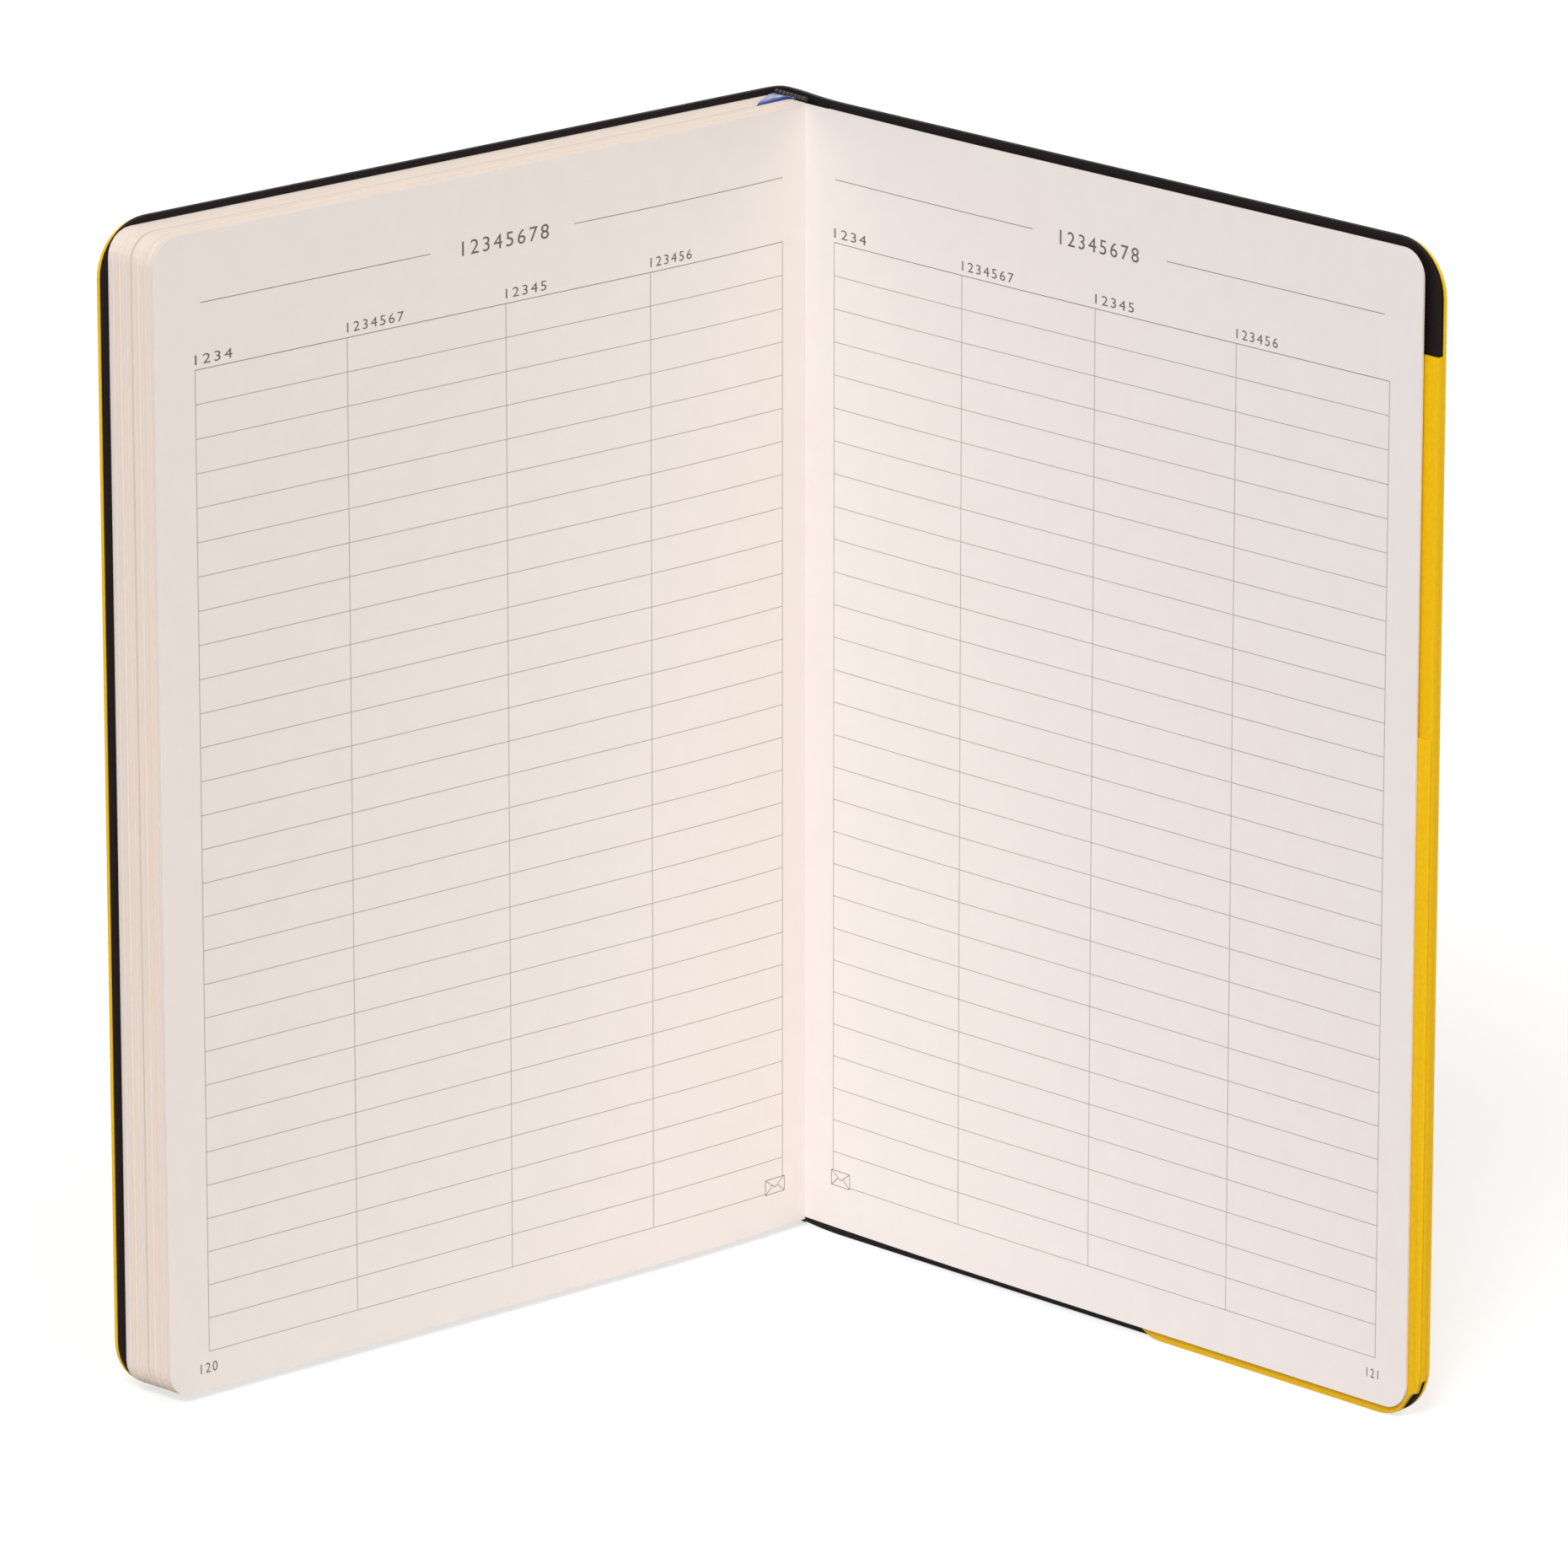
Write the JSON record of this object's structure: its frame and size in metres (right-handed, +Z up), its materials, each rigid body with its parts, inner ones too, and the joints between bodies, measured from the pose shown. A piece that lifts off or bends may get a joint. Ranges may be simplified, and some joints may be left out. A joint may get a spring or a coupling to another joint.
{
  "type": "lined notebook",
  "caption": "Soft-cover lined notebook standing open at its last leaf, with a sewn text block, rounded corners, a ribbon marker and a pocket inside the back cover.",
  "frame": {"origin": "on the surface that the open notebook stands on, under the middle of its bounding box", "axes": "+X to the right as the open pages are read, +Y towards the spine, +Z up to the head of the pages"},
  "size_m": [0.2604, 0.1286, 0.24],
  "materials": {
    "page_paper": "uncoated ivory writing paper",
    "endleaf_paper": "uncoated ivory paper",
    "cover_skin": "yellow soft synthetic leather, satin",
    "cover_core": "black backing sheet",
    "cover_lining": "black coated lining, matte",
    "pocket_skin": "yellow soft synthetic leather, satin",
    "headband_cloth": "black and grey woven band",
    "gauze": "open white weave",
    "thread": "white waxed thread",
    "ribbon_satin": "blue satin ribbon"
  },
  "bodies": {
    "text_block": {"signature_01": "page_paper", "signature_02": "page_paper", "signature_03": "page_paper", "signature_04": "page_paper", "signature_05": "page_paper", "signature_06": "page_paper", "signature_07": "page_paper", "signature_08": "page_paper", "signature_09": "page_paper", "signature_10": "page_paper", "signature_11": "page_paper", "signature_12": "page_paper", "front_flyleaf": "endleaf_paper", "gutter_fold": "page_paper", "spine_skin": "cover_skin", "spine_core": "cover_core", "spine_lining": "cover_lining", "sewing_thread": "thread", "spine_gauze": "gauze", "headband_top": "headband_cloth", "headband_bottom": "headband_cloth", "ribbon_marker": "ribbon_satin"},
    "front_cover": {"front_cover_lining": "cover_lining", "front_cover_core": "cover_core", "front_cover_skin": "cover_skin"},
    "turning_leaf": {"turning_leaf": "page_paper"},
    "last_leaves": {"last_leaf": "page_paper", "rear_flyleaf": "endleaf_paper", "back_joint_skin": "cover_skin", "back_joint_lining": "cover_lining"},
    "back_cover": {"back_cover_lining": "cover_lining", "back_cover_core": "cover_core", "back_cover_skin": "cover_skin", "pocket_rear_tier": "pocket_skin", "pocket_front_tier": "pocket_skin"}
  },
  "joints": [
    {"name": "front_cover_opening", "type": "hinge", "parent": "text_block", "child": "front_cover", "pos_m": [-0.005, 0.06047, 0.12], "axis": [0, 0, 1], "range_deg": [-180, 0]},
    {"name": "leaf_turning", "type": "hinge", "parent": "text_block", "child": "turning_leaf", "pos_m": [0.00661, 0.05186, 0.12], "axis": [0, 0, 1], "range_deg": [0, 90]},
    {"name": "last_leaves_closing", "type": "hinge", "parent": "text_block", "child": "last_leaves", "pos_m": [0.00661, 0.05186, 0.12], "axis": [0, 0, 1], "range_deg": [-92, 0]},
    {"name": "back_cover_opening", "type": "hinge", "parent": "last_leaves", "child": "back_cover", "pos_m": [0.01519, 0.04886, 0.12], "axis": [0, 0, 1], "range_deg": [0, 85]}
  ]
}
